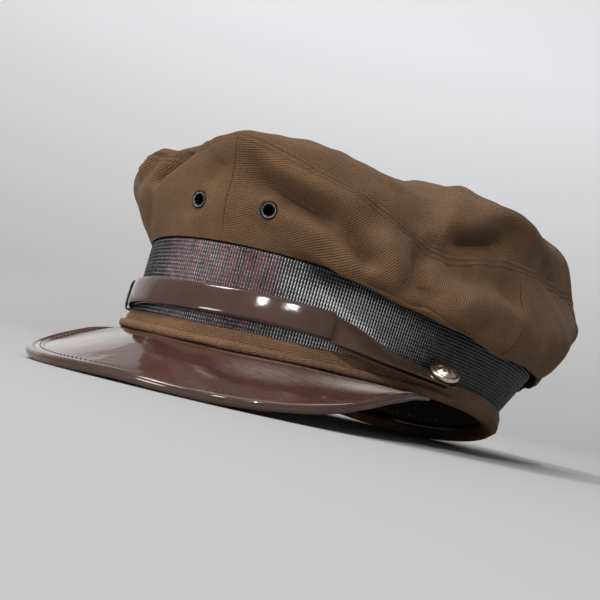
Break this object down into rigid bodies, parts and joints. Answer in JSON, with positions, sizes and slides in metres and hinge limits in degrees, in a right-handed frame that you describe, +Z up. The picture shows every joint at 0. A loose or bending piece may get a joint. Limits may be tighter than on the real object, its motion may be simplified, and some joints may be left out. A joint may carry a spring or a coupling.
{
  "type": "peaked cap",
  "caption": "Soft peaked uniform cap with a full cloth crown, woven mesh band, rolled-edge patent peak, side-button chin strap and vent eyelets.",
  "frame": {"origin": "middle of the cap's footprint, on the surface it rests on", "axes": "+Z up from the surface, -Y towards the front of the peak, +X towards the wearer's left"},
  "size_m": [0.2102, 0.2824, 0.1171],
  "materials": {
    "crown_twill": "olive-brown worsted twill, matt",
    "strip_twill": "the same twill, cut on the bias, a little warmer",
    "band_mesh": "black woven mesh with shiny plastic strands",
    "red_backing": "dark red backing, matt",
    "sweat_leather": "dark brown leather, satin",
    "black_tape": "black, glossy",
    "patent": "brown patent leather, high gloss, dusty and scuffed",
    "button_metal": "polished gilt metal",
    "eyelet_metal": "black enamel, glossy"
  },
  "bodies": {
    "root": {"crown_top": "crown_twill", "crown_front_left": "crown_twill", "crown_front_right": "crown_twill", "crown_back_left": "crown_twill", "crown_back_right": "crown_twill", "mesh_band": "band_mesh", "front_stay": "red_backing", "lower_strip": "strip_twill", "rolled_piping": "strip_twill", "sweatband": "sweat_leather", "sweatband_tape": "black_tape", "peak": "patent", "peak_binding": "patent", "strap_left": "patent", "strap_right": "patent", "strap_keeper": "patent", "button_left": "button_metal", "button_right": "button_metal", "eyelet_left": "eyelet_metal", "eyelet_right": "eyelet_metal"}
  },
  "joints": []
}
